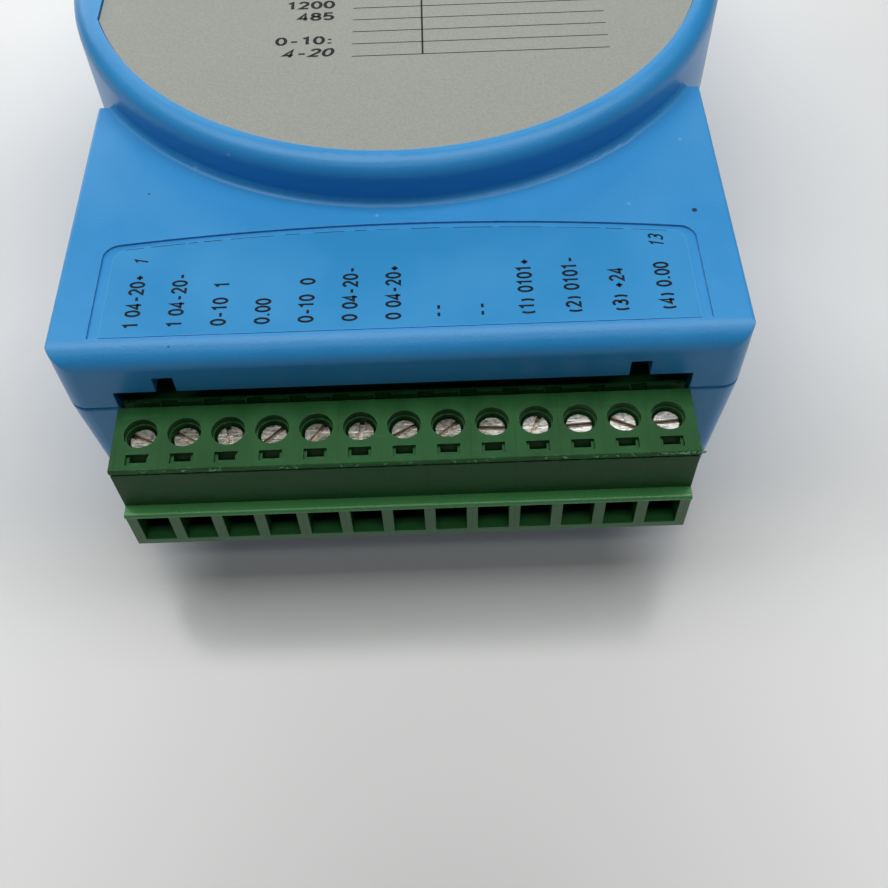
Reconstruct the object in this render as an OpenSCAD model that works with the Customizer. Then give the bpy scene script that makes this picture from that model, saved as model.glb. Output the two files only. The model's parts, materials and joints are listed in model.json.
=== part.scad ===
// Analogue output module in a two-part case with a pluggable 13-pole screw terminal at each end.
// Millimetres. Origin at the middle of the base. +X runs along the terminals, +Y to the rear end, +Z up.

/* [Case] */
// Width of the case's two ends
case_w = 60; // [59.6:0.1:61]
// Length of the case without its plugs
case_l = 102.6; // [102:0.1:104]
// Height of the flat decks above the base
deck_z = 25.9; // [25.6:0.1:26.4]
// Height of the round centre's rim above the base
rim_z = 30.2; // [29.8:0.1:31]
// Height of the split between the two shells
split_z = 19; // [18.8:0.1:19.2]
// Diameter of the round centre
disk_d = 68.5; // [68:0.1:70]
// Thickness of the shell walls
wall = 2; // [1.8:0.1:2.2]
// Radius of the upright corners and of the decks' end edges
corner_r = 2; // [1.6:0.1:2.2]
// Radius of the decks' side edges
side_r = 0.35; // [0.2:0.05:0.5]
// Radius of the rim's outer edge
rim_r = 1.75; // [1.2:0.05:1.8]
// Radius of the fillet where the round centre meets the decks
foot_r = 0.7; // [0.4:0.1:1]
// How far the lower shell's walls lean in at the base
lean = 1.4; // [0.8:0.1:1.6]
// Height of the bevel along the lower shell's top edge
groove = 0.45; // [0.3:0.05:0.6]

/* [Labels] */
// Diameter of the face label
label_d = 63.8; // [63:0.1:64.2]
// Width across the face label's straight sides
label_w = 60; // [58:0.5:61]
// Depth of the face label's recess
label_recess = 0.5; // [0.4:0.05:0.6]
// Thickness of the face label
label_t = 0.25; // [0.2:0.05:0.3]
// Width of the terminal legend's recess
legend_w = 53; // [52:0.5:54]
// Radius of the legend recess's curved inner edge
legend_arc = 210; // [180:5:260]
// Distance of that edge from the middle of the case
legend_back = 36.8; // [36.4:0.1:37]
// Depth of the legend recess
legend_recess = 0.2; // [0.2:0.05:0.4]
// Thickness of the legend film
legend_t = 0.12; // [0.1:0.02:0.2]

/* [Terminals] */
// Poles at each end
poles = 13; // [13:1:13]
// Distance between poles
pitch = 3.81; // [3.81:0.01:3.82]
// Width of a plug
plug_w = 50.4; // [50.2:0.1:50.6]
// Height of a plug's top above the base
plug_top = 19.3; // [19.2:0.1:19.5]
// Height of a plug
plug_h = 11.04; // [11:0.01:11.1]
// Distance of the screw row from the case's end face
screw_out = 3.16; // [3.1:0.01:3.2]
// Diameter of a screw hole
screw_hole_d = 2.95; // [2.85:0.05:3]
// Diameter of a screw head
screw_head_d = 2.4; // [2.3:0.05:2.5]
// Depth of a screw head below the plug's top
screw_sink = 1; // [0.9:0.05:1.1]
// Diameter of a screw's thread
screw_d = 1.95; // [1.9:0.01:1.96]
// Travel of a wire clamp
clamp_travel = 2.4; // [1.6:0.1:2.4]
// Width of a wire entry
entry_w = 2.82; // [2.6:0.02:2.9]
// Height of a wire entry
entry_h = 3.83; // [3.6:0.01:3.85]

/* [Board] */
// Width of the circuit board
board_w = 53; // [50:0.5:53]
// Length of the circuit board
board_l = 96.8; // [95:0.1:96.8]
// Thickness of the circuit board
board_t = 1.6; // [1.5:0.1:1.6]
// Height of the circuit board's top above the base
board_top = 11.25; // [11.2:0.05:11.4]

/* [Hidden] */
$fn = 64;

CASE_BLUE = [0.22, 0.55, 0.82];
PLUG_GREEN = [0.15, 0.36, 0.17];
NICKEL = [0.72, 0.7, 0.66];
BOARD_GREEN = [0.05, 0.3, 0.14];

eps = 0.01;                                  // overshoot of a cut past a face
end_y = case_l / 2;                          // case end face
disk_r = disk_d / 2;
return_x = 28.3;                             // inner side of the short return beside the round centre
return_y = sqrt(pow(disk_r, 2) - pow(return_x, 2));
legend_front = corner_r + 0.1 - end_y;       // front edge of the legend's recess at the front end

// Terminal opening in each end wall
opening_w = 50.5;
opening_z = 10.95;
opening_top = 21.03;
notch_x = 20.57;                             // middle of each notch above the opening
notch_w = 1.8;
notch_top = 22.89;

// Fasteners that hold the shells together
bolt_x = 22;
bolt_y = 33;
bolt_d = 2.9;
bolt_l = 16;
bolt_head_d = 5.5;
bolt_seat_z = 3;                             // underside of the seat that a bolt's head bears on
insert_y = 30;                               // threaded inserts for a rail clip or wall bracket
insert_d = 4.6;
insert_l = 4.6;
insert_bore_d = 2.5;
floor_z = 2;
lower_wall_x = 27;                           // inner faces of the lower shell
lower_wall_y = 48.7;
waist_x = 24.5;                              // half width of the lower shell's cavity between its ends

// Status light
status_x = 20;
status_y = 20;
status_d = 3;

// Header
header_w = 50.2;
header_y = -50.6;                            // front of the header at the front end
header_l = 9.2;
header_h = 7.25;
header_wall = 0.9;
header_top = board_top + header_h;
ledge_l = 0.48;                              // raised edge along the header's top
ledge_h = 0.3;
ledge_notch_w = 1.45;                        // notch in that edge between two poles
ledge_notch_l = 0.28;
ledge_rib_t = 0.14;                          // thin rib beside each notch
pin_w = 0.9;
pin_z = board_top + 3.4;
pin_leg_y = 40.5;
pin_leg_z = board_top - 3.05;

// Plug
plug_gap = 0.38;                             // back of a plug, measured out from the end face
band_out = 6.93;                             // upright band under the top cap
cap_out = 7.04;
cap_h = 0.5;
groove_h = 0.36;                             // groove under the cap
groove_l = 0.15;
lip_z = 13.2;                                // rounded lip over the wire entries
lip_r = 0.32;
face_out = 7.86;                             // wire entry face
plug_z = plug_top - plug_h;
screw_y = end_y + screw_out;
entry_z = 9;
chamber_w = 3.1;
chamber_l = 3;
chamber_z = plug_z + 0.5;
probe_w = 1.98;                              // test probe slot beside each screw
probe_out = [5.35, 6.4];
probe_sill_h = 0.35;                         // depth and length of the sill at the slot's outer side
probe_sill_l = 0.42;
probe_tab_w = 1.2;                           // tab of the contact strip that a test probe touches
probe_tab_out = 5.8;
probe_tab_top = plug_top - 1.1;
cover_w = 48.2;                              // part of the plug that enters the header
cover_z = [12.35, 17.3];
cover_l = 8.3;

// Contact strip and screw
strip_w = 1.8;
strip_z = [12.9, 13.4];
strip_slack = 0.05;
leaf_t = 0.3;
leaf_gap = 0.1;
head_top = plug_top - screw_sink;
head_h = 0.9;
slot_w = 0.45;
slot_depth = 0.5;
slot_turn = [-24, -31, -75, 43, 53, 84, 30, 41, -2, 67, 4, -26, 4];  // of each screw's slot, at rest

// Wire clamp, at rest at the bottom of its travel
clamp_w = 2.94;
clamp_l = 2.84;
clamp_z = chamber_z + 0.09;
clamp_side_t = 0.45;
clamp_floor_t = 0.5;
clamp_opening_h = 4.4;
clamp_plate_t = 1;
clamp_h = clamp_floor_t + clamp_opening_h + clamp_plate_t;
clamp_hole_d = screw_d + 0.11;
chamber_top = clamp_z + clamp_h + clamp_travel + 0.15;

function arc(x, y, r, from, to, n) =
    [for (i = [0:n]) let (a = from + (to - from) * i / n) [x + r * cos(a), y + r * sin(a)]];

function pole_x(i) = (i - (poles + 1) / 2) * pitch;

module at_rear() rotate([0, 0, 180]) children();
module both_ends() { children(); at_rear() children(); }
module each_pole() for (i = [1:poles]) translate([pole_x(i), 0, 0]) children();
module four_bolts() for (x = [-bolt_x, bolt_x], y = [-bolt_y, bolt_y]) translate([x, y, 0]) children();

// A box from its least to its greatest corner
module block(low, high) translate(low) cube(high - low);

// A drawing of a side view, extruded along X
module along_x(w) rotate([90, 0, 90]) linear_extrude(height = w, center = true) children();

// A drawing of an end view, extruded along Y
module along_y(l) rotate([90, 0, 0]) linear_extrude(height = l, center = true) children();

module rounded_rect(w, l, r) {
    square([w - 2 * r, l], center = true);
    square([w, l - 2 * r], center = true);
    for (x = [-1, 1], y = [-1, 1]) translate([x * (w / 2 - r), y * (l / 2 - r)]) circle(r);
}

// Outline of a face with its upper corners rounded, from z = low to z = high
module rounded_top(w, low, high, r) {
    translate([-w / 2, low]) square([w, high - low - r]);
    translate([r - w / 2, low]) square([w - 2 * r, high - low]);
    for (s = [-1, 1]) translate([s * (w / 2 - r), high - r]) circle(r);
}

// Everything beyond the short returns beside the round centre
module ends_only(low, high)
    both_ends() block([-case_w, -case_l, low], [case_w, -return_y, high]);

module deck_block() intersection() {
    translate([0, 0, split_z]) linear_extrude(height = deck_z - split_z)
        rounded_rect(case_w, case_l, corner_r);
    along_x(case_w + 2) rounded_top(case_l, split_z, deck_z, corner_r);
    along_y(case_l + 2) rounded_top(case_w, split_z, deck_z, side_r);
    ends_only(split_z, deck_z);
}

module round_centre() rotate_extrude() {
    translate([0, split_z]) square([disk_r - rim_r, rim_z - split_z]);
    translate([0, split_z]) square([disk_r, rim_z - rim_r - split_z]);
    translate([disk_r - rim_r, rim_z - rim_r]) circle(rim_r);
}

// Concave fillet around the foot of the round centre, only where it stands on a deck
module foot_fillet() intersection() {
    rotate_extrude() difference() {
        translate([disk_r - 0.2, deck_z - 0.2]) square(foot_r + 0.2);
        translate([disk_r + foot_r, deck_z + foot_r]) circle(foot_r);
    }
    both_ends() block([-case_w / 2 + side_r, -case_l, 0], [case_w / 2 - side_r, -return_y, rim_z]);
}

module upper_cavity() {
    translate([0, 0, split_z - eps]) cylinder(r = disk_r - wall, h = rim_z - wall - label_recess - split_z);
    block([-25, wall - end_y, split_z - eps], [25, end_y - wall, deck_z - wall]);
    both_ends() block(
        [wall - case_w / 2, wall - end_y, split_z - eps],
        [case_w / 2 - wall, -return_y - wall, deck_z - wall]);
}

// The wire side's opening in an end wall, with a notch near each end of its top edge
module terminal_opening() {
    block([-opening_w / 2, -end_y - 1, opening_z], [opening_w / 2, -lower_wall_y + 1, opening_top]);
    for (s = [-1, 1])
        translate([s * notch_x - notch_w / 2, -end_y - 1, opening_top - 1])
            cube([notch_w, 1 + wall + 1, notch_top - opening_top + 1]);
}

module label_outline(grow) intersection() {
    circle(r = label_d / 2 + grow, $fn = 128);
    square([label_w + 2 * grow, label_d * 2], center = true);
}

// Legend outline: straight sides, curved inner edge, rounded inner corners, front edge at y = front
module legend_outline(side_gap, back_gap, front) {
    big = legend_arc - back_gap;
    small = 1.5;
    half = legend_w / 2 - side_gap;
    middle_y = -legend_back - legend_arc;
    corner = [half - small, middle_y + sqrt(pow(big - small, 2) - pow(half - small, 2))];
    tilt = atan2(corner[1] - middle_y, corner[0]);
    polygon(concat(
        [[half, front]],
        arc(corner[0], corner[1], small, 0, tilt, 8),
        arc(0, middle_y, big, tilt, 180 - tilt, 32),
        arc(-corner[0], corner[1], small, 180 - tilt, 180, 8),
        [[-half, front]]));
}

module top_case() color(CASE_BLUE) difference() {
    union() {
        difference() {
            union() { deck_block(); round_centre(); foot_fillet(); }
            upper_cavity();
        }
        four_bolts() translate([0, 0, board_top]) cylinder(d = 6, h = deck_z - wall / 2 - board_top);
    }
    four_bolts() translate([0, 0, board_top - eps]) cylinder(d = bolt_d + 0.1, h = 9);
    translate([0, 0, rim_z - label_recess]) linear_extrude(height = 1) label_outline(0.1);
    both_ends() {
        translate([0, 0, deck_z - legend_recess]) linear_extrude(height = 1)
            legend_outline(0, 0, legend_front);
        terminal_opening();
    }
    translate([status_x, status_y, 0]) cylinder(d = status_d + 0.2, h = rim_z + 1);
}

// Lower shell: each corner is a cone, so that the walls lean in evenly towards the base
module leaning_block(low, high, r_low, r_high, cx, cy) {
    along_y(2 * cy) polygon([
        [-cx - r_low, low], [cx + r_low, low], [cx + r_high, high], [-cx - r_high, high]]);
    along_x(2 * cx) polygon([
        [-cy - r_low, low], [cy + r_low, low], [cy + r_high, high], [-cy - r_high, high]]);
    for (x = [-cx, cx], y = [-cy, cy]) translate([x, y, low])
        cylinder(r1 = r_low, r2 = r_high, h = high - low);
}

module lower_outside() {
    cx = case_w / 2 - corner_r;
    cy = end_y - corner_r;
    intersection() {
        union() {
            leaning_block(0, split_z - groove, corner_r - lean, corner_r, cx, cy);
            leaning_block(split_z - groove, split_z, corner_r, corner_r - groove, cx, cy);
        }
        ends_only(0, split_z);
    }
    cylinder(r1 = disk_r - lean, r2 = disk_r, h = split_z - groove);
    translate([0, 0, split_z - groove]) cylinder(r1 = disk_r, r2 = disk_r - groove, h = groove);
}

module lower_cavity() {
    translate([0, 0, floor_z]) cylinder(r = disk_r - lean - wall, h = split_z);
    block([-waist_x, -lower_wall_y, floor_z], [waist_x, lower_wall_y, split_z + 1]);
    both_ends() block(
        [-lower_wall_x, -lower_wall_y, floor_z], [lower_wall_x, -return_y - wall, split_z + 1]);
}

module bottom_case() color(CASE_BLUE) difference() {
    union() {
        difference() {
            lower_outside();
            lower_cavity();
            both_ends() terminal_opening();
        }
        four_bolts() cylinder(d = 8, h = board_top - board_t);
        for (y = [-insert_y, insert_y]) translate([0, y, 0]) cylinder(d = 8, h = insert_l + 0.8);
    }
    four_bolts() {
        translate([0, 0, -eps]) cylinder(d = bolt_d + 0.3, h = board_top);
        translate([0, 0, -eps]) cylinder(d = bolt_head_d + 0.4, h = bolt_seat_z + eps);
    }
    for (y = [-insert_y, insert_y]) translate([0, y, -eps]) cylinder(d = insert_d, h = insert_l + eps);
}

module face_label() color([0.62, 0.63, 0.59]) difference() {
    translate([0, 0, rim_z - label_recess]) linear_extrude(height = label_t) label_outline(0);
    translate([status_x, status_y, 0]) cylinder(d = status_d + 0.2, h = rim_z + 1);
}

module terminal_legends() color([0.3, 0.58, 0.8]) both_ends()
    translate([0, 0, deck_z - legend_recess]) linear_extrude(height = legend_t)
        legend_outline(0.95, 0.55, legend_front + 0.15);

// Pan-head screw from below, with a crossed recess
module case_screws() color(NICKEL) four_bolts() difference() {
    union() {
        translate([0, 0, bolt_seat_z - 1.8]) cylinder(d = bolt_head_d, h = 1.8);
        translate([0, 0, bolt_seat_z]) cylinder(d = bolt_d, h = bolt_l - 1);
        translate([0, 0, bolt_seat_z + bolt_l - 1]) cylinder(d1 = bolt_d, d2 = 1.2, h = 1);
    }
    for (a = [0, 90]) rotate([0, 0, a]) block([-1.6, -0.35, 1], [1.6, 0.35, bolt_seat_z - 0.7]);
}

// Brass inserts in the base, with a knurled band
module mounting_inserts() color([0.75, 0.6, 0.3]) for (y = [-insert_y, insert_y])
    translate([0, y, 0]) difference() {
        union() {
            cylinder(d = insert_d - 0.3, h = insert_l);
            cylinder(d = insert_d, h = 1.2);
            translate([0, 0, 1.8]) cylinder(d = insert_d, h = 1.6);
        }
        translate([0, 0, -eps]) cylinder(d = insert_bore_d, h = insert_l + 1);
    }

// Board with a waist that clears the lower shell's returns
module circuit_board() color(BOARD_GREEN) difference() {
    translate([0, 0, board_top - board_t])
        linear_extrude(height = board_t) rounded_rect(board_w, board_l, 1.5);
    for (s = [-1, 1]) translate([s * (waist_x + 4.7), 0, board_top])
        cube([10, 45, 4 * board_t], center = true);
    four_bolts() translate([0, 0, board_top - board_t - 1]) cylinder(d = bolt_d + 0.5, h = 4);
    both_ends() each_pole() translate([0, -pin_leg_y, board_top - board_t - 1])
        cylinder(d = 1.4, h = 4);
}

// A flat chip with gull-wing legs along its two long sides
module chip(w, l, h, legs) {
    leg_pitch = l / (legs + 0.5);
    translate([-w / 2, -l / 2, 0.1]) cube([w, l, h]);
    for (i = [0:legs - 1], s = [-1, 1]) translate([s * (w / 2 + 0.45), (i - (legs - 1) / 2) * leg_pitch, 0])
        translate([-0.55, -leg_pitch / 5, 0]) cube([1.1, leg_pitch / 2.5, 0.5]);
}

module board_chips() color([0.12, 0.12, 0.13]) translate([0, 0, board_top]) {
    translate([-9, -8, 0]) chip(12, 12, 1.5, 10);
    translate([10, -10, 0]) chip(7.5, 10.3, 2.3, 8);
    translate([10, -24, 0]) chip(6, 8.7, 1.6, 7);
    translate([-9, -25, 0]) chip(4, 5, 1.5, 4);
    for (i = [0:2]) translate([-8 + 9 * i, 31, 0]) chip(6.4, 4.6, 3.4, 2);
}

// Potted isolating converter on four stand-offs
module power_converter() color([0.1, 0.1, 0.11]) translate([7, 12, board_top]) {
    difference() {
        translate([-10, -7, 0.5]) cube([20, 14, 8.5]);
        translate([-8.8, -5.8, 8.6]) cube([17.6, 11.6, 1]);
    }
    for (x = [-8.5, 8.5], y = [-5.5, 5.5]) translate([x - 0.75, y - 0.75, 0]) cube([1.5, 1.5, 0.6]);
}

// Upright electrolytic capacitors with a rolled groove
module capacitors() color([0.2, 0.22, 0.3]) for (p = [[-14, 8], [-14, 16.5], [-22.5, -16]])
    translate([p[0], p[1], board_top]) rotate_extrude() difference() {
        square([3.15, 9]);
        translate([3.45, 1.6]) circle(0.5);
        translate([0, 8.8]) square([2.5, 1]);
    }

// Surface lamp on the board and the light pipe that carries it to the face
module status_light() color([0.75, 0.85, 0.75]) translate([status_x, status_y, 0]) {
    translate([-1.6, -0.8, board_top]) cube([3.2, 1.6, 1.1]);
    rotate_extrude() {
        translate([0, board_top + 1.6]) square([status_d / 2, rim_z - 0.4 - board_top - 1.6]);
        translate([0, board_top + 3.6]) square([status_d / 2 + 0.6, 1]);
        translate([0, rim_z - 0.5]) square([status_d / 2 - 0.25, 0.4]);
    }
}

// Header: an open-fronted shell, whose top edge is raised and notched between the poles
module header() color(PLUG_GREEN) {
    front = header_y;
    half = header_w / 2;
    difference() {
        union() {
            block([-half, front, board_top], [half, front + header_l, header_top - ledge_h]);
            block([-half, front, board_top], [half, front + ledge_l, header_top]);
            for (s = [-1, 1]) translate([s * (half - 1.2) - 0.8, front + 3, board_top])
                cube([1.6, 3, header_h]);
        }
        block([header_wall - half - 0.1, front - 1, board_top + header_wall],
            [half - header_wall + 0.1, front + header_l - 1.3, header_top - header_wall]);
        for (i = [1:poles - 1]) translate([pole_x(i + 0.5), front, header_top])
            cube([ledge_notch_w, 2 * ledge_notch_l, 4 * header_wall], center = true);
        for (s = [-1, 1]) translate([s * (half - 0.75), front + ledge_l / 2, header_top])
            cube([0.7, ledge_l - 0.2, 0.5], center = true);
        each_pole() translate([0, front + header_l, pin_z]) cube([pin_w, 4, pin_w], center = true);
    }
    for (i = [1:poles - 1]) translate([pole_x(i + 0.5) - ledge_notch_w / 2 - ledge_rib_t, front - 0.25, 0])
        block([0, 0, header_top - header_wall], [ledge_rib_t, 0.35, header_top - 0.08]);
}
module front_header() header();
module rear_header() at_rear() header();

// Square pins: through the header's back wall, then down through the board
module header_pins() color(NICKEL) both_ends() each_pole() {
    tip_y = header_y + 1.3;
    difference() {
        block([-pin_w / 2, tip_y, pin_z - pin_w / 2], [pin_w / 2, pin_w / 2 - pin_leg_y, pin_z + pin_w / 2]);
        for (s = [-1, 1]) translate([0, tip_y, pin_z + s * pin_w / 2]) rotate([45, 0, 0])
            cube([2, 0.5, 0.5], center = true);
    }
    translate([0, -pin_leg_y, 0])
        block([-pin_w / 2, -pin_w / 2, pin_leg_z], [pin_w / 2, pin_w / 2, pin_z + pin_w / 2]);
}

// Side view of a plug: top cap, upright band, rounded lip and wire entry face
module plug_section() {
    back = -end_y - plug_gap;
    face = -end_y - face_out;
    cap = -end_y - cap_out;
    band = -end_y - band_out;
    cap_z = plug_top - cap_h;
    lip_in = 0.12;
    polygon(concat(
        [[back, plug_z], [face, plug_z]],
        arc(face + lip_in, lip_z, lip_r, 180 + acos(lip_in / lip_r), 90, 10),
        [[band, lip_z + lip_r], [band, cap_z - groove_h - 0.05], [band + 0.05, cap_z - groove_h],
         [band + groove_l, cap_z - groove_h], [band + groove_l, cap_z],
         [cap, cap_z], [cap, plug_top - 0.12], [cap + 0.12, plug_top], [back, plug_top]]));
}

module clamp_chamber() translate([0, -screw_y, 0])
    block([-chamber_w / 2, -chamber_l / 2, chamber_z], [chamber_w / 2, chamber_l / 2, chamber_top]);

module probe_slot() {
    near = -end_y - probe_out[0];
    far = -end_y - probe_out[1];
    block([-probe_w / 2, far, plug_top - probe_sill_h], [probe_w / 2, near, plug_top + 1]);
    block([0.25 - probe_w / 2, far + probe_sill_l, strip_z[1]], [probe_w / 2 - 0.25, near, plug_top]);
}

module plug_body() color(PLUG_GREEN) difference() {
    along_x(plug_w) plug_section();
    each_pole() {
        clamp_chamber();
        translate([0, -screw_y, plug_top - 0.65]) cylinder(d = screw_hole_d, h = 2);
        translate([0, -screw_y, chamber_top - 0.1]) cylinder(d = screw_hole_d - 0.25, h = 2);
        probe_slot();
        block([-entry_w / 2, -end_y - face_out - 1, entry_z], [entry_w / 2, -screw_y, entry_z + entry_h]);
        block([-strip_w / 2 - strip_slack, -end_y - probe_tab_out - strip_slack, entry_z + entry_h - eps],
            [strip_w / 2 + strip_slack, -end_y, strip_z[1] + strip_slack]);
    }
}

// Mating half of a plug, closed over the contacts from behind
module plug_cover() color(PLUG_GREEN) difference() {
    y0 = -end_y - plug_gap;
    union() {
        block([-cover_w / 2, y0, cover_z[0]], [cover_w / 2, y0 + cover_l, cover_z[1]]);
        block([-cover_w / 2 - 0.7, y0, cover_z[0] - 0.7], [cover_w / 2 + 0.7, y0 + 0.5, cover_z[1] + 0.7]);
    }
    each_pole() {
        block([-1.25, y0 - 1, cover_z[0] + 0.4], [1.25, y0 + cover_l - 0.8, pin_z + 1]);
        block([-0.75, y0, pin_z - 0.75], [0.75, y0 + cover_l + 1, pin_z + 0.75]);
    }
}

// Contact strips: a test tab, a tongue under each screw, a web, and two spring leaves for a header pin
module plug_contacts() color(NICKEL) each_pole() {
    back = -end_y - plug_gap;
    web_y = back + 0.4;
    low = pin_z - pin_w / 2 - leaf_gap - leaf_t;
    high = pin_z + pin_w / 2 + leaf_gap;
    half = strip_w / 2;
    tab_y = -end_y - probe_tab_out;
    block([-half, tab_y, strip_z[0]], [half, web_y + 0.4, strip_z[1]]);
    block([-probe_tab_w / 2, tab_y, strip_z[0]], [probe_tab_w / 2, tab_y + leaf_t, probe_tab_top]);
    block([-half, web_y, strip_z[0]], [half, web_y + 0.4, high + leaf_t]);
    block([-half, web_y, low], [half, back + cover_l - 1.2, low + leaf_t]);
    block([-half, web_y, high], [half, back + cover_l - 1.2, high + leaf_t]);
}

// Slotted cheese-head screw, its slot turned from the X axis
module terminal_screw(i, turn) color(NICKEL)
    translate([pole_x(i), -screw_y, 0]) rotate([0, 0, turn]) difference() {
        tip_z = strip_z[1] + 0.1;
        union() {
            rotate_extrude() {
                translate([0, head_top - head_h]) square([screw_head_d / 2, head_h - 0.12]);
                translate([0, head_top - head_h]) square([screw_head_d / 2 - 0.12, head_h]);
                translate([screw_head_d / 2 - 0.12, head_top - 0.12]) circle(0.12);
            }
            translate([0, 0, tip_z + 0.3]) cylinder(d = screw_d, h = head_top - head_h / 2 - tip_z - 0.3);
            translate([0, 0, tip_z]) cylinder(d1 = screw_d - 0.5, d2 = screw_d, h = 0.3);
        }
        block([-screw_head_d, -slot_w / 2, head_top - slot_depth], [screw_head_d, slot_w / 2, head_top + 1]);
    }

// Square ring that rises and grips the wire against the tongue
module wire_clamp(i) color(NICKEL) translate([pole_x(i), -screw_y, clamp_z]) difference() {
    translate([-clamp_w / 2, -clamp_l / 2, 0]) cube([clamp_w, clamp_l, clamp_h]);
    translate([clamp_side_t - clamp_w / 2, -clamp_l, clamp_floor_t])
        cube([clamp_w - 2 * clamp_side_t, 2 * clamp_l, clamp_opening_h]);
    translate([0, 0, clamp_h - clamp_plate_t - eps]) cylinder(d = clamp_hole_d, h = clamp_plate_t + 1);
}

module front_plug_body() plug_body();
module front_plug_cover() plug_cover();
module front_plug_contacts() plug_contacts();
module rear_plug_body() at_rear() plug_body();
module rear_plug_cover() at_rear() plug_cover();
module rear_plug_contacts() at_rear() plug_contacts();
module rear_clamps() at_rear() for (i = [1:poles]) wire_clamp(i);

top_case();
bottom_case();
face_label();
terminal_legends();
case_screws();
mounting_inserts();
circuit_board();
board_chips();
power_converter();
capacitors();
status_light();
front_header();
rear_header();
header_pins();
front_plug_body();
front_plug_cover();
front_plug_contacts();
rear_plug_body();
rear_plug_cover();
rear_plug_contacts();
rear_clamps();
for (i = [1:poles]) {
    terminal_screw(i, slot_turn[i - 1]);
    wire_clamp(i);
    at_rear() terminal_screw(i, slot_turn[poles - i]);
}
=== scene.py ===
"""Looks of the analogue output module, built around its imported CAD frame. Metres, row frame."""
import json
import math
import random

import bmesh
import bpy
from mathutils import Matrix, Vector


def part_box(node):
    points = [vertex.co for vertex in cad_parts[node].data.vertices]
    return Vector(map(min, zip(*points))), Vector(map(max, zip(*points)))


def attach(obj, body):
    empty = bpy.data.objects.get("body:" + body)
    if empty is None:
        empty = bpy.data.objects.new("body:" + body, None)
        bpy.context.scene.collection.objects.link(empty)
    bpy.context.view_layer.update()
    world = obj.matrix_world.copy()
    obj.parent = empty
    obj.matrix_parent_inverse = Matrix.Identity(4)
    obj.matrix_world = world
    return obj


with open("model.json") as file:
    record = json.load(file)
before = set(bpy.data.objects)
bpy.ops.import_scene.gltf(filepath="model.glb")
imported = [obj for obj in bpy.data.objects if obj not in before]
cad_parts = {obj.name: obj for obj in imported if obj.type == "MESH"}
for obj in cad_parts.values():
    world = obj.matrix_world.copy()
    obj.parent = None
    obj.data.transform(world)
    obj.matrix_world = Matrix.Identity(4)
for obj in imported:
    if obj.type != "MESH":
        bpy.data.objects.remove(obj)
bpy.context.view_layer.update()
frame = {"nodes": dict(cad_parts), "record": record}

MM = 0.001
POLES = 13
PITCH = 3.81 * MM
HALF_TURN = Matrix.Rotation(math.pi, 4, "Z")


# ---------------------------------------------------------------- frame measurements

def low(node, axis):
    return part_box(node)[0]["xyz".index(axis)]


def high(node, axis):
    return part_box(node)[1]["xyz".index(axis)]


LABEL_Z = high("face_label", "z")
LEGEND_Z = high("terminal_legends", "z")
HEAD_TOP = high("front_screw_1", "z")
PLUG_TOP = high("front_plug_body", "z")
PLUG_LEFT = low("front_plug_body", "x")
PLUG_RIGHT = high("front_plug_body", "x")
LIP_FRONT = -low("front_plug_body", "y")      # how far the rounded lip reaches from the middle of the case
LIP_Z = 13.2 * MM                             # centre of the lip
ENTRY_FACE = LIP_FRONT - 0.2 * MM             # face around the wire entries, under the lip
ENTRY_LOW = 9.0 * MM                          # bed of the wire entries


def pole_x(i):
    return (i - (POLES + 1) / 2) * PITCH


# ---------------------------------------------------------------- camera, light and floor

def add_camera():
    """A close, steep view of the front terminals, with a little roll."""
    data = bpy.data.cameras.new("camera")
    data.lens = 44.2
    data.sensor_width = 36
    data.clip_start = 0.005
    camera = bpy.data.objects.new("camera", data)
    bpy.context.scene.collection.objects.link(camera)
    pitch, yaw, roll = math.radians(55.984), math.radians(0.511), math.radians(-2.432)
    camera.matrix_world = (
        Matrix.Translation((3.87 * MM, -108.77 * MM, 96.5 * MM))
        @ Matrix.Rotation(yaw, 4, "Z")
        @ Matrix.Rotation(math.pi / 2 - pitch, 4, "X")
        @ Matrix.Rotation(roll, 4, "Z")
    )
    bpy.context.scene.camera = camera


def add_area(name, place, target, size, power, colour):
    """A rectangular light at place that faces target."""
    data = bpy.data.lights.new(name, "AREA")
    data.shape = "RECTANGLE"
    data.size, data.size_y = size
    data.energy = power
    data.color = colour
    light = bpy.data.objects.new(name, data)
    bpy.context.scene.collection.objects.link(light)
    light.location = place
    light.rotation_euler = (Vector(target) - Vector(place)).to_track_quat("-Z", "Y").to_euler()


def add_lights():
    white, warm = (1, 0.995, 0.985), (1, 0.99, 0.97)
    add_area("ceiling", (0, 0.07, 0.6), (0, 0.04, 0), (1.0, 0.36), 3.7, white)
    add_area("front_strip", (0.02, -0.28, 0.54), (0, -0.05, 0.01), (0.6, 0.05), 0.42, white)
    add_area("far_wall", (-0.3, 1.7, 0.55), (0, 0, 0), (2.6, 1.0), 19.0, warm)


def add_world():
    """A dim fill for everything, and pale paper behind the set that only the camera sees."""
    world = bpy.data.worlds.new("studio")
    world.use_nodes = True
    tree = world.node_tree
    fill = tree.nodes["Background"]
    fill.inputs["Color"].default_value = (0.86, 0.92, 1, 1)
    fill.inputs["Strength"].default_value = 0.03
    paper = tree.nodes.new("ShaderNodeBackground")
    paper.inputs["Color"].default_value = (0.62, 0.63, 0.64, 1)
    seen = tree.nodes.new("ShaderNodeLightPath").outputs["Is Camera Ray"]
    join = tree.nodes.new("ShaderNodeMixShader")
    for socket, value in zip(join.inputs, (seen, fill.outputs[0], paper.outputs[0])):
        tree.links.new(value, socket)
    tree.links.new(join.outputs[0], tree.nodes["World Output"].inputs["Surface"])
    bpy.context.scene.world = world


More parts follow.
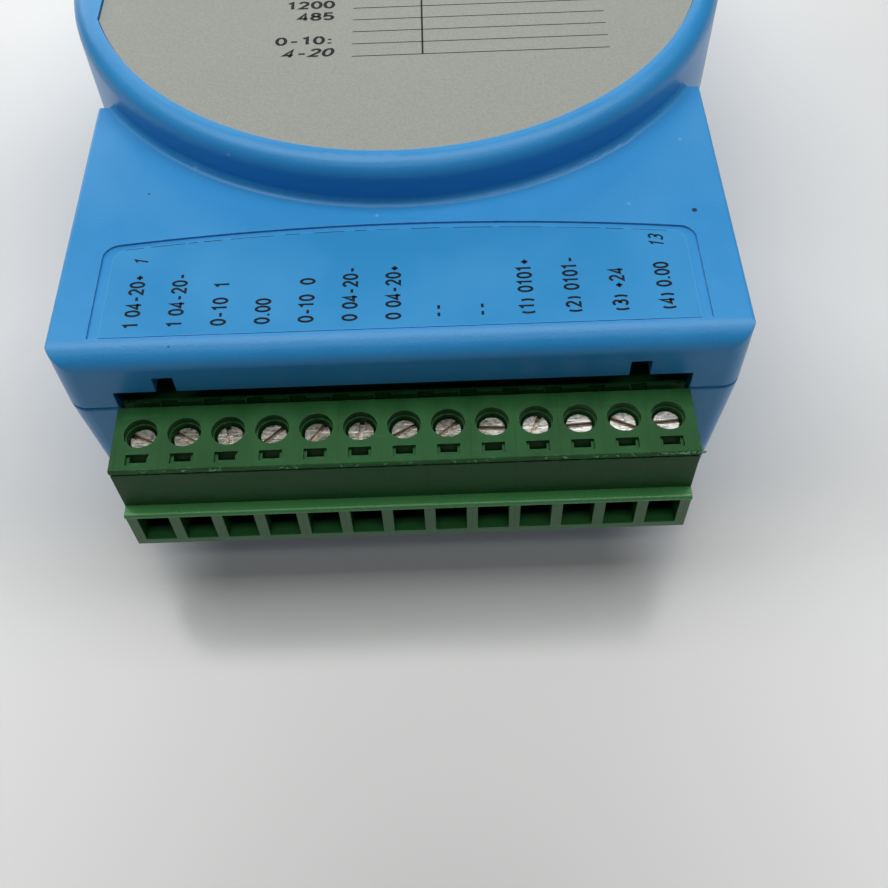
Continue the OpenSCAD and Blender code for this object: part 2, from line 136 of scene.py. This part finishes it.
def add_floor():
    """A pale satin top, its colour darker in a painted shadow around the plug's shade, with a faint painted
    glow.
    """
    half = 3
    corners = [(-half, -half, 0), (half, -half, 0), (half, half, 0), (-half, half, 0)]
    mesh = bpy.data.meshes.new("floor")
    mesh.from_pydata(corners, [], [(0, 1, 2, 3)])
    floor = bpy.data.objects.new("floor", mesh)
    bpy.context.scene.collection.objects.link(floor)
    s = Shade("floor", (0.68, 0.69, 0.685), 0.22, specular=1.0)
    s.set("Emission Color", (1, 1, 1, 1))
    s.set("Emission Strength", 0.05)    # painted glow: a faint even emission that lifts the floor and its shadows, standing in for light scattered inside the top
    # Painted shadow: the floor's colour darkens around this point in front of the plug, near it and again
    # further towards the front.
    shade = (0, -0.1, 0)
    away = s.node("VectorMath", {0: s.place, 1: shade}, operation="DISTANCE").outputs["Value"]
    near = s.ramp(away, (0.008, 0.0), (0.035, 0.3))
    far = s.ramp(away, (0.035, 0.0), (0.09, 0.7))
    s.set("Base Color", s.mix(s.math("ADD", near, far), (0.33, 0.34, 0.335), (0.8, 0.81, 0.81)))
    s.set("Roughness", s.ramp(s.noise(9, 2), (0.35, 0.17), (0.7, 0.27)))
    s.bump(s.noise(26, 3), 0.0006, 0.15)
    mesh.materials.append(s.material)


# ---------------------------------------------------------------- materials

def scaled(colour, factor):
    return tuple(min(1, factor * v) for v in colour)


class Shade:
    """A Principled material whose colour, roughness and relief come from nodes in object space."""

    def __init__(self, name, colour, roughness, metallic=0.0, specular=0.5):
        self.material = bpy.data.materials.new(name)
        self.material.use_nodes = True
        self.tree = self.material.node_tree
        self.surface = self.tree.nodes["Principled BSDF"]
        self.place = self.tree.nodes.new("ShaderNodeTexCoord").outputs["Object"]
        self.normal = None
        self.set("Base Color", (*colour, 1))
        self.set("Roughness", roughness)
        self.set("Metallic", metallic)
        self.set("Specular IOR Level", specular)

    def feed(self, socket, value):
        if isinstance(value, bpy.types.NodeSocket):
            self.tree.links.new(value, socket)
        else:
            socket.default_value = value

    def set(self, socket, value):
        self.feed(self.surface.inputs[socket], value)

    def node(self, kind, inputs, **settings):
        node = self.tree.nodes.new("ShaderNode" + kind)
        for key, value in settings.items():
            setattr(node, key, value)
        for key, value in inputs.items():
            self.feed(node.inputs[key], value)
        return node

    def stretched(self, x, y, z):
        """Object space scaled along each axis, for streaks and scratches."""
        return self.node("Mapping", {"Vector": self.place, "Scale": (x, y, z)}).outputs["Vector"]

    def noise(self, scale, detail=2, at=None, roughness=0.5):
        inputs = {"Vector": at or self.place, "Scale": scale, "Detail": detail, "Roughness": roughness}
        return self.node("TexNoise", inputs).outputs["Fac"]

    def voronoi(self, scale, output, at=None):
        return self.node("TexVoronoi", {"Vector": at or self.place, "Scale": scale}).outputs[output]

    def ramp(self, value, first, last):
        """value, from first[0] to last[0], becomes first[1] to last[1], clamped."""
        inputs = {"Value": value, "From Min": first[0], "From Max": last[0]}
        inputs.update({"To Min": first[1], "To Max": last[1]})
        return self.node("MapRange", inputs).outputs["Result"]

    def math(self, operation, a, b=0.0):
        return self.node("Math", {0: a, 1: b}, operation=operation).outputs[0]

    def mix(self, factor, a, b):
        node = self.node("Mix", {}, data_type="RGBA")
        self.feed(node.inputs[0], factor)
        for socket, value in ((node.inputs[6], a), (node.inputs[7], b)):
            self.feed(socket, value if isinstance(value, bpy.types.NodeSocket) else (*value, 1))
        return node.outputs[2]

    def axis(self, name):
        return self.node("SeparateXYZ", {"Vector": self.place}).outputs[name]

    def bump(self, height, distance, strength):
        """Relief of that depth, on top of any earlier one."""
        inputs = {"Height": height, "Distance": distance, "Strength": strength}
        if self.normal:
            inputs["Normal"] = self.normal
        self.normal = self.node("Bump", inputs).outputs["Normal"]
        self.set("Normal", self.normal)

    def soften(self, radius):
        """Round the edges in shading before any relief is added."""
        self.normal = self.node("Bevel", {"Radius": radius}, samples=4).outputs["Normal"]

    def seams(self, half_width):
        """1 on the moulding line between two poles, fading in and out along it."""
        across = self.math("DIVIDE", self.axis("X"), PITCH)
        from_pole = self.math("ABSOLUTE", self.math("SUBTRACT", self.math("FRACT", across), 0.5))
        line = self.math("LESS_THAN", from_pole, half_width / PITCH)
        return self.math("MULTIPLY", line, self.ramp(self.noise(130, 3), (0.45, 0.0), (0.6, 1.0)))

    def edges(self, radius, first, last):
        """1 on convex and concave edges, 0 on open faces."""
        soft = self.node("Bevel", {"Radius": radius}, samples=4).outputs["Normal"]
        hard = self.node("NewGeometry", {}).outputs["Normal"]
        dot = self.node("VectorMath", {0: soft, 1: hard}, operation="DOT_PRODUCT").outputs["Value"]
        return self.ramp(dot, (first, 1.0), (last, 0.0))

    def specks(self, scale, share, size):
        """Sparse round specks: a share of the cells, each with a dot of that part of a cell."""
        cell = self.node("SeparateColor", {"Color": self.voronoi(scale, "Color")}).outputs[0]
        chosen = self.math("GREATER_THAN", cell, 1 - share)
        dot = self.math("LESS_THAN", self.voronoi(scale, "Distance"), size)
        return self.math("MULTIPLY", chosen, dot)


def case_plastic():
    s = Shade("case_blue", (0.035, 0.30, 0.68), 0.34, specular=0.42)
    s.soften(0.12 * MM)
    smudge = s.noise(70, 4, roughness=0.6)
    base = s.mix(s.ramp(smudge, (0.3, 0.0), (0.7, 1.0)), (0.030, 0.285, 0.655), (0.038, 0.315, 0.70))
    patchy = s.ramp(s.noise(900, 3), (0.45, 0.0), (0.7, 0.35))
    worn = s.math("MULTIPLY", s.edges(0.25 * MM, 0.93, 0.995), patchy)
    base = s.mix(worn, base, (0.2, 0.48, 0.8))
    base = s.mix(s.specks(260, 0.10, 0.07), base, (0.01, 0.04, 0.09))
    dust = s.math("MULTIPLY", s.specks(520, 0.08, 0.09), 0.4)
    s.set("Base Color", s.mix(dust, base, (0.3, 0.5, 0.72)))
    s.set("Roughness", s.ramp(smudge, (0.3, 0.28), (0.75, 0.42)))
    s.bump(s.noise(4600, 2), 0.035 * MM, 0.6)
    s.bump(s.noise(60, 1), 0.12 * MM, 0.25)
    return s.material


def label_film():
    s = Shade("label_grey", (0.33, 0.345, 0.31), 0.5, specular=0.3)
    grain = s.noise(4200, 3, roughness=0.7)
    base = s.mix(s.ramp(grain, (0.3, 0.0), (0.7, 1.0)), (0.29, 0.305, 0.272), (0.37, 0.385, 0.348))
    base = s.mix(s.math("MULTIPLY", s.specks(420, 0.06, 0.08), 0.5), base, (0.08, 0.08, 0.07))
    s.set("Base Color", base)
    s.set("Roughness", s.ramp(s.noise(90, 3), (0.3, 0.42), (0.7, 0.56)))
    s.bump(grain, 0.03 * MM, 0.55)
    return s.material


def legend_film():
    s = Shade("legend_film", (0.035, 0.30, 0.66), 0.32, specular=0.3)
    smudge = s.noise(110, 3)
    base = s.mix(s.ramp(smudge, (0.35, 0.0), (0.7, 1.0)), (0.032, 0.285, 0.63), (0.04, 0.31, 0.67))
    # Painted highlight: the film's cut edges are lighter, standing for the light that they catch.
    base = s.mix(s.math("MULTIPLY", s.edges(0.1 * MM, 0.9, 0.99), 0.85), base, (0.16, 0.5, 0.85))
    s.set("Base Color", base)
    s.set("Roughness", s.ramp(smudge, (0.3, 0.28), (0.7, 0.4)))
    s.bump(s.noise(2600, 2), 0.01 * MM, 0.35)
    return s.material


def plug_skin(s, flow, shade):
    """Flow marks, scuffed edges and fine scratches."""
    dark, light = scaled((0.012, 0.082, 0.018), shade), scaled((0.02, 0.112, 0.028), shade)
    base = s.mix(s.ramp(flow, (0.35, 0.0), (0.68, 1.0)), dark, light)
    patchy = s.ramp(s.noise(1500, 4), (0.5, 0.0), (0.66, 0.7))
    scuff = s.math("MULTIPLY", s.edges(0.14 * MM, 0.9, 0.99), patchy)
    base = s.mix(scuff, base, scaled((0.12, 0.26, 0.13), shade))
    scratch = s.ramp(s.noise(2400, 2, s.stretched(0.08, 1, 1)), (0.68, 0.0), (0.74, 0.25))
    return s.mix(scratch, base, scaled((0.06, 0.16, 0.07), shade))


def entry_tones(s, base, out, shade):
    """Painted shade deep inside the wire entries and painted light on their beds near the mouth, in a face
    painted lighter and greyer for the light that it catches.
    """
    bed = s.ramp(s.axis("Z"), (ENTRY_LOW + 0.02 * MM, 1.0), (ENTRY_LOW + 0.1 * MM, 0.0))
    mouth = s.ramp(out, (ENTRY_FACE - 1.5 * MM, 0.0), (ENTRY_FACE - 0.6 * MM, 1.0))
    # Painted shade and light: the entries' beds are dark deep inside and lighter near the mouth.
    base = s.mix(bed, base, s.mix(mouth, (0.003, 0.015, 0.004), (0.05, 0.25, 0.07)))
    # Painted light: the face around the entries is lighter and greyer.
    face = s.ramp(out, (ENTRY_FACE - 0.03 * MM, 0.0), (ENTRY_FACE - 0.01 * MM, 0.8))
    under_lip = s.ramp(s.axis("Z"), (LIP_Z - 0.2 * MM, 1.0), (LIP_Z - 0.1 * MM, 0.0))
    return s.mix(s.math("MULTIPLY", face, under_lip), base, scaled((0.16, 0.3, 0.17), shade))


def lip_mask(s, out):
    """1 on the rounded lip and the ledge behind it, which are smoother, and painted lighter for the light
    that falls on them.
    """
    height = s.math("ABSOLUTE", s.math("SUBTRACT", s.axis("Z"), LIP_Z))
    beside = s.ramp(height, (0.34 * MM, 1.0), (0.38 * MM, 0.0))
    in_front = s.ramp(out, (ENTRY_FACE - 1.3 * MM, 0.0), (ENTRY_FACE - 1.2 * MM, 1.0))
    return s.math("MULTIPLY", beside, in_front)


# shade scales the greens; above 1 it makes a lighter, lit copy of the plug's plastic.
def plug_plastic(name="plug_green", shade=1.0):
    s = Shade(name, (0.014, 0.086, 0.02), 0.45, specular=0.24)
    s.soften(0.05 * MM)
    flow = s.noise(320, 4, s.stretched(1, 0.35, 1), 0.6)
    out = s.math("ABSOLUTE", s.axis("Y"))
    base = entry_tones(s, plug_skin(s, flow, shade), out, shade)
    seam = s.seams(0.035 * MM)
    base = s.mix(s.math("MULTIPLY", seam, 0.3), base, (0.003, 0.02, 0.005))
    lip = lip_mask(s, out)
    # Painted light: the lip and its ledge take a lighter green.
    s.set("Base Color", s.mix(lip, base, scaled((0.062, 0.29, 0.08), shade)))
    waxy = s.ramp(flow, (0.3, 0.36), (0.7, 0.52))
    s.set("Roughness", s.math("SUBTRACT", waxy, s.math("MULTIPLY", lip, 0.16)))
    s.set("Specular IOR Level", s.ramp(lip, (0, 0.24), (1, 0.8)))
    s.bump(s.math("SUBTRACT", 1.0, seam), 0.03 * MM, 0.4)
    s.bump(s.noise(3800, 3), 0.02 * MM, 0.5)
    s.bump(s.noise(240, 2), 0.06 * MM, 0.4)
    return s.material


def plating(s, line):
    """Blotched and scratched nickel: each screw of its own tone, with painted light that makes them
    brighter toward +X.
    """
    each = s.node("ObjectInfo", {}).outputs["Random"]
    blotch = s.ramp(s.noise(1300, 5, roughness=0.7), (0.4, 0.0), (0.62, 1.0))
    tone = s.mix(blotch, (0.2, 0.185, 0.155), (0.62, 0.6, 0.53))
    tone = s.mix(s.math("MULTIPLY", line, 0.35), tone, (0.8, 0.78, 0.71))
    # Random tone for each screw, plus painted light that grows toward +X.
    random_and_painted_light = s.math("ADD", s.math("MULTIPLY", each, 0.3), s.ramp(s.axis("X"), (0, 0.0), (15 * MM, 0.5)))
    tone = s.mix(s.math("SUBTRACT", 0.8, random_and_painted_light), tone, (0.2, 0.185, 0.15))
    # Painted light: heads toward +X take a pale, lit colour.
    return s.mix(s.ramp(s.axis("X"), (4 * MM, 0.0), (16 * MM, 0.65)), tone, (0.97, 0.95, 0.87))


def screw_metal():
    """Plated heads whose slots have stained walls and a bed painted paler, standing for the light on it."""
    s = Shade("screw_nickel", (0.5, 0.48, 0.42), 0.3, metallic=1.0)
    line = s.ramp(s.noise(2600, 3, s.stretched(0.12, 1, 1)), (0.52, 0.0), (0.62, 1.0))
    depth = s.math("SUBTRACT", HEAD_TOP, s.axis("Z"))
    wall = s.ramp(depth, (0.1 * MM, 0.0), (0.2 * MM, 0.9))
    bed = s.ramp(depth, (0.38 * MM, 0.0), (0.46 * MM, 1.0))
    stain = s.mix(s.noise(2600, 3), (0.03, 0.016, 0.009), (0.11, 0.066, 0.038))
    # Painted light: the slot's bed is paler than its stained walls.
    stain = s.mix(bed, stain, s.mix(s.noise(1900, 3), (0.3, 0.23, 0.17), (0.85, 0.74, 0.6)))
    s.set("Base Color", s.mix(wall, plating(s, line), stain))
    s.set("Metallic", s.math("SUBTRACT", 1.0, s.math("MULTIPLY", wall, s.math("SUBTRACT", 0.9, bed))))
    s.set("Roughness", s.ramp(s.noise(3000, 3), (0.3, 0.24), (0.7, 0.44)))
    s.bump(s.noise(900, 3, roughness=0.6), 0.07 * MM, 0.7)
    s.bump(line, 0.01 * MM, 0.6)
    return s.material


def plain_metal(name, colour, roughness):
    s = Shade(name, colour, roughness, metallic=1.0)
    tone = s.ramp(s.noise(900, 4), (0.3, 0.0), (0.7, 1.0))
    s.set("Base Color", s.mix(tone, scaled(colour, 0.75), scaled(colour, 1.1)))
    s.set("Roughness", s.ramp(s.noise(2200, 3), (0.3, roughness - 0.08), (0.7, roughness + 0.12)))
    s.bump(s.noise(3000, 3, s.stretched(1, 0.2, 1)), 0.012 * MM, 0.5)
    return s.material


def board_resist():
    s = Shade("board_green", (0.01, 0.1, 0.04), 0.3)
    tracks = s.voronoi(300, "Distance", s.stretched(1, 0.25, 1))
    bare = s.ramp(tracks, (0.2, 0.0), (0.5, 1.0))
    s.set("Base Color", s.mix(bare, (0.01, 0.12, 0.045), (0.006, 0.07, 0.028)))
    s.set("Roughness", s.ramp(s.noise(400, 2), (0.3, 0.25), (0.7, 0.4)))
    s.bump(tracks, 0.05 * MM, 0.3)
    return s.material


def moulded_black(name, colour):
    s = Shade(name, colour, 0.55)
    grain = s.noise(3000, 3)
    tone = s.ramp(grain, (0.3, 0.0), (0.7, 1.0))
    s.set("Base Color", s.mix(tone, scaled(colour, 0.8), scaled(colour, 1.3)))
    s.set("Roughness", s.ramp(s.noise(300, 2), (0.3, 0.48), (0.7, 0.65)))
    s.bump(grain, 0.02 * MM, 0.5)
    return s.material


def lamp_acrylic():
    s = Shade("lamp_clear", (0.45, 0.62, 0.45), 0.12)
    s.set("Transmission Weight", 0.5)
    s.set("Base Color", s.mix(s.noise(500, 2), (0.4, 0.6, 0.42), (0.5, 0.66, 0.5)))
    s.set("Roughness", s.ramp(s.noise(900, 2), (0.3, 0.08), (0.7, 0.2)))
    s.bump(s.noise(1200, 2), 0.01 * MM, 0.3)
    return s.material


def ink():
    s = Shade("ink_black", (0.004, 0.006, 0.01), 0.5, specular=0.15)
    worn = s.ramp(s.noise(4200, 3), (0.35, 0.0), (0.75, 1.0))
    s.set("Base Color", s.mix(worn, (0.003, 0.005, 0.009), (0.012, 0.016, 0.024)))
    s.set("Roughness", s.ramp(worn, (0, 0.42), (1, 0.6)))
    s.bump(s.noise(5200, 2), 0.004 * MM, 0.4)
    return s.material


MATERIALS = {
    "case_blue": case_plastic(),
    "label_grey": label_film(),
    "legend_film": legend_film(),
    "plug_green": plug_plastic(),
    # Painted light: the header uses the plug's green painted lighter, standing in for light on its ledge.
    "header_green": plug_plastic("header_green", 1.25),
    "screw_nickel": screw_metal(),
    "screw_steel": plain_metal("screw_steel", (0.55, 0.55, 0.55), 0.35),
    "clamp_steel": plain_metal("clamp_steel", (0.55, 0.52, 0.46), 0.4),
    "contact_tin": plain_metal("contact_tin", (0.66, 0.65, 0.62), 0.35),
    "insert_brass": plain_metal("insert_brass", (0.7, 0.5, 0.2), 0.35),
    "board_green": board_resist(),
    "chip_black": moulded_black("chip_black", (0.02, 0.02, 0.021)),
    "converter_black": moulded_black("converter_black", (0.014, 0.014, 0.015)),
    "capacitor_sleeve": moulded_black("capacitor_sleeve", (0.03, 0.04, 0.1)),
    "lamp_clear": lamp_acrylic(),
}


def dress_nodes():
    """Every CAD node takes the material of its slot in the record."""
    for entry in frame["record"]["subparts"]:
        mesh = frame["nodes"][entry["node"]].data
        mesh.materials.clear()
        mesh.materials.append(MATERIALS[entry["material_slot"]])


# ---------------------------------------------------------------- printing, and a painted shadow along the film's inner edge

def collect(builder, name, material, body):
    """A piece from the faces that builder adds to a bmesh."""
    bm = bmesh.new()
    builder(bm)
    mesh = bpy.data.meshes.new(name)
    bm.to_mesh(mesh)
    bm.free()
    mesh.materials.append(material)
    piece = bpy.data.objects.new(name, mesh)
    bpy.context.scene.collection.objects.link(piece)
    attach(piece, body)
    return piece


def sweep(x, y, wide, tall, first, last, steps=10):
    """Points along an arc of an ellipse, in degrees."""
    turns = [math.radians(first + (last - first) * i / steps) for i in range(steps + 1)]
    return [(x + wide * math.cos(t), y + tall * math.sin(t)) for t in turns]


# Strokes of each character, in a cell one unit high and 0.6 wide
GLYPHS = {
    "0": [sweep(0.3, 0.5, 0.25, 0.47, 90, 450, 20)],
    "1": [[(0.12, 0.76), (0.34, 0.95), (0.34, 0.0)]],
    "2": [sweep(0.29, 0.7, 0.23, 0.27, 165, -35) + [(0.07, 0.04), (0.55, 0.04)]],
    "3": [sweep(0.27, 0.73, 0.22, 0.24, 150, -80) + sweep(0.27, 0.27, 0.25, 0.25, 80, -150)],
    "4": [[(0.56, 0.25), (0.05, 0.25), (0.42, 0.95), (0.42, 0.0)]],
    "5": [[(0.52, 0.95), (0.14, 0.95), (0.09, 0.52)] + sweep(0.28, 0.31, 0.25, 0.28, 120, -150)],
    "6": [sweep(0.3, 0.5, 0.24, 0.46, 60, 200) + sweep(0.3, 0.29, 0.24, 0.27, 180, -180, 16)],
    "8": [sweep(0.3, 0.73, 0.2, 0.23, -90, 270, 16), sweep(0.3, 0.26, 0.24, 0.25, 90, 450, 16)],
    "9": [sweep(0.3, 0.7, 0.24, 0.26, 0, 360, 16) + sweep(0.3, 0.5, 0.24, 0.46, 20, -120)],
    "+": [[(0.08, 0.4), (0.52, 0.4)], [(0.3, 0.62), (0.3, 0.18)]],
    "-": [[(0.12, 0.38), (0.48, 0.38)]],
    "(": [sweep(0.6, 0.4, 0.35, 0.62, 135, 225)],
    ")": [sweep(0.0, 0.4, 0.35, 0.62, 45, -45)],
    ".": [[(0.3, 0.0), (0.3, 0.16)]],
    ":": [[(0.3, 0.0), (0.3, 0.16)], [(0.3, 0.5), (0.3, 0.66)]],
    "/": [[(0.08, -0.05), (0.52, 1.0)]],
    " ": [],
}
NARROW = {".": 0.3, ":": 0.34, "(": 0.42, ")": 0.42, " ": 0.34, "1": 0.54}


def add_stroke(bm, points, thickness, place):
    """A flat ribbon along points, with mitred corners."""
    points = [Vector(p) for p in points]
    edges = []
    for i, point in enumerate(points):
        ahead = points[min(i + 1, len(points) - 1)] - points[min(i, len(points) - 2)]
        behind = points[max(i, 1)] - points[max(i - 1, 0)]
        across = ahead.normalized().orthogonal() + behind.normalized().orthogonal()
        across.normalize()
        spread = thickness / 2 / max(0.5, across.dot(ahead.normalized().orthogonal()))
        edges.append([bm.verts.new(place @ (point + side * spread * across).to_3d()) for side in (1, -1)])
    for (a, b), (c, d) in zip(edges, edges[1:]):
        bm.faces.new((a, b, d, c))


def add_words(bm, words, cap, place, turn=0.0, thickness=0.17, width=1.0, slant=0.0, from_right=False):
    """Flat lettering on a baseline that starts, or ends, at place."""
    advance = [(NARROW.get(letter, 0.6) + 0.14) * width for letter in words]
    x = -sum(advance) if from_right else 0.0
    base = Matrix.Translation(place) @ Matrix.Rotation(turn, 4, "Z") @ Matrix.Scale(cap, 4)
    lean = Matrix(((width, slant, 0, 0), (0, 1, 0, 0), (0, 0, 1, 0), (0, 0, 0, 1)))
    for letter, step in zip(words, advance):
        inset = (NARROW.get(letter, 0.6) - 0.6) / 2 * width
        cell = base @ Matrix.Translation((x + inset, 0, 0)) @ lean
        for points in GLYPHS[letter]:
            add_stroke(bm, points, thickness, cell)
        x += step


def add_bar(bm, x0, y0, x1, y1, z):
    corners = [bm.verts.new((x, y, z)) for x, y in ((x0, y0), (x1, y0), (x1, y1), (x0, y1))]
    bm.faces.new(corners)


# What stands beside terminals 1 to 13
LEGENDS = ["1 04-20+", "1 04-20-", "0-10  1", "0.00", "0-10  0", "0 04-20-", "0 04-20+",
           "--", "--", "(1) 0101+", "(2) 0101-", "(3) +24", "(4) 0.00"]
LEGEND_CAP = 1.24 * MM
LEGEND_START = 3.2 * MM      # from the case's end face to the first letter
LEGEND_NUMBER = 10.5 * MM    # from the case's end face to the terminal's number
FILM_BACK = 37.46 * MM       # from the middle of the case to the film's curved inner edge
FILM_ARC = 209.3 * MM        # radius of that edge
INK_LIFT = 0.014 * MM        # top of the ink above the surface that it is printed on


def add_film_edge(bm, z):
    """The broken dark line along the film's inner edge: painted shadow of the gap under that edge."""
    rng = random.Random(3)
    reach = 24.6 * MM
    x = -reach
    while x < reach - 0.3 * MM:
        end = min(x + rng.uniform(0.8, 4.5) * MM, reach)
        along = [x + (end - x) * i / 4 for i in range(5)]
        points = [(a, math.sqrt(FILM_ARC ** 2 - a * a) - FILM_ARC - FILM_BACK) for a in along]
        add_stroke(bm, points, rng.uniform(0.025, 0.06) * MM, Matrix.Translation((0, 0, z)))
        x = end + rng.uniform(0.2, 1.4) * MM


def add_legends(bm):
    end_y = low("top_case", "y")
    z = LEGEND_Z + INK_LIFT
    for i, words in enumerate(LEGENDS, start=1):
        x = pole_x(i) + LEGEND_CAP / 2 - min(0.075 * i, 0.18 * (POLES - i)) * MM
        add_words(bm, words, LEGEND_CAP, (x, end_y + LEGEND_START, z), math.pi / 2, 0.19, 0.9)
        if i in (1, POLES):
            add_words(bm, str(i), LEGEND_CAP, (x, end_y + LEGEND_NUMBER, z), math.pi / 2, 0.15, 0.9, 0.25)
    # Painted shadow along the film's inner edge, drawn with the legends' ink.
    add_film_edge(bm, z)


# The face's ruled table, its words and the empty frame above it
LABEL_ROWS = 14
ROW_STEP = 1.93 * MM
TABLE_LOW = -18.06 * MM
TABLE_LEFT = -4.3 * MM
TABLE_RIGHT = 20.8 * MM
TABLE_SPLIT = 2.6 * MM
LABEL_CAP = 1.15 * MM
LABEL_WORDS = (
    (0, "4-20", 0.25), (1, "0-10:", 0.0), (3, "485", 0.0), (4, "1200", 0.0), (5, "9600", 0.0),
    (7, "10-30:", 0.0), (8, "24", 0.25), (10, "16:", 0.0), (11, "2", 0.25))
FRAME_HALF = 14 * MM
FRAME_BOTTOM = 12 * MM
FRAME_TOP = 20 * MM
FRAME_LINE = 0.2 * MM


def add_face_print(bm):
    """A ruled table with numbers beside its rows, and an empty frame above it."""
    z = LABEL_Z + INK_LIFT
    thin, thick = 0.045 * MM, 0.09 * MM
    table_high = TABLE_LOW + (LABEL_ROWS - 1) * ROW_STEP
    for row in range(LABEL_ROWS):
        y = TABLE_LOW + row * ROW_STEP
        add_bar(bm, TABLE_LEFT, y - thin, TABLE_RIGHT, y + thin, z)
    add_bar(bm, TABLE_SPLIT - thick, TABLE_LOW, TABLE_SPLIT + thick, table_high, z)
    for row, words, slant in LABEL_WORDS:
        place = (TABLE_LEFT - 1.7 * MM, TABLE_LOW + (row + 0.1) * ROW_STEP, z)
        add_words(bm, words, LABEL_CAP, place, 0, 0.2, 1.5, slant, from_right=True)
    add_bar(bm, -FRAME_HALF, FRAME_BOTTOM, FRAME_HALF, FRAME_BOTTOM + FRAME_LINE, z)
    add_bar(bm, -FRAME_HALF, FRAME_TOP - FRAME_LINE, FRAME_HALF, FRAME_TOP, z)
    add_bar(bm, -FRAME_HALF, FRAME_BOTTOM, FRAME_LINE - FRAME_HALF, FRAME_TOP, z)
    add_bar(bm, FRAME_HALF - FRAME_LINE, FRAME_BOTTOM, FRAME_HALF, FRAME_TOP, z)


def add_printing():
    material = ink()
    pieces = [
        collect(add_legends, "front_legend_print", material, "case"),
        collect(add_legends, "rear_legend_print", material, "case"),
        collect(add_face_print, "face_print", material, "case"),
    ]
    pieces[1].data.transform(HALF_TURN)
    for piece in pieces:
        layer = piece.modifiers.new("ink_thickness", "SOLIDIFY")
        layer.thickness = INK_LIFT * 0.7
        layer.offset = -1


# ---------------------------------------------------------------- chipped edges of the plugs

CAP_EDGE = 0.82 * MM - LIP_FRONT      # front edge of the plug's top cap


def add_chip(bm, rng, place, size):
    """A torn flake of plastic: a bent sliver with an uneven point."""
    turn = Matrix.Rotation(rng.uniform(-0.7, 0.7), 4, "Z") @ Matrix.Rotation(rng.uniform(-0.6, 0.5), 4, "X")
    base = Matrix.Translation(place) @ turn
    long = size * rng.uniform(0.8, 1.6)
    wide = size * rng.uniform(0.3, 0.6)
    thick = size * rng.uniform(0.12, 0.25)
    outline = (
        (-long, 0), (-0.3 * long, -0.6 * wide), (0.35 * long, -wide), (long, -0.1 * wide), (0, 0.7 * wide))
    curl = [thick * rng.uniform(-0.5, 1.5) for _ in outline]
    rings = [
        [bm.verts.new(base @ Vector((x, y, bend + side * thick))) for (x, y), bend in zip(outline, curl)]
        for side in (-0.5, 0.5)
    ]
    count = len(outline)
    bm.faces.new(rings[0][::-1])
    bm.faces.new(rings[1])
    for i in range(count):
        after = (i + 1) % count
        bm.faces.new((rings[0][i], rings[0][after], rings[1][after], rings[1][i]))


def add_chips(bm, seed):
    """Flakes along the cap's front edge, most of them near its right end."""
    rng = random.Random(seed)
    for _ in range(46):
        share = 1 - rng.random() ** 1.7 if rng.random() < 0.6 else rng.random()
        x = PLUG_LEFT + (PLUG_RIGHT - PLUG_LEFT) * (0.015 + 0.97 * share)
        place = (x, CAP_EDGE + rng.uniform(0.0, 0.08) * MM, PLUG_TOP + rng.uniform(-0.08, 0.015) * MM)
        add_chip(bm, rng, place, rng.uniform(0.07, 0.2) * MM)
    for i in range(7):
        place = (PLUG_RIGHT - (0.25 + 0.5 * i) * MM, CAP_EDGE + 0.1 * MM, PLUG_TOP + 0.01 * MM)
        add_chip(bm, rng, place, rng.uniform(0.2, 0.34) * MM)
    add_chip(bm, rng, (PLUG_RIGHT + 0.1 * MM, CAP_EDGE + 0.15 * MM, PLUG_TOP - 0.05 * MM), 0.36 * MM)


def chip_plastic():
    s = Shade("chip_green", (0.05, 0.17, 0.06), 0.5, specular=0.3)
    s.set("Base Color", s.mix(s.noise(900, 3), (0.02, 0.1, 0.03), (0.12, 0.27, 0.13)))
    s.set("Roughness", s.ramp(s.noise(1400, 2), (0.3, 0.4), (0.7, 0.6)))
    s.bump(s.noise(4000, 3), 0.02 * MM, 0.5)
    return s.material


def add_wear():
    material = chip_plastic()
    collect(lambda bm: add_chips(bm, 4), "front_plug_chips", material, "front_plug")
    rear = collect(lambda bm: add_chips(bm, 9), "rear_plug_chips", material, "rear_plug")
    rear.data.transform(HALF_TURN)


# ---------------------------------------------------------------- scene

add_camera()
add_lights()
add_world()
add_floor()
dress_nodes()
add_printing()
add_wear()

bpy.context.scene.view_settings.view_transform = "Standard"
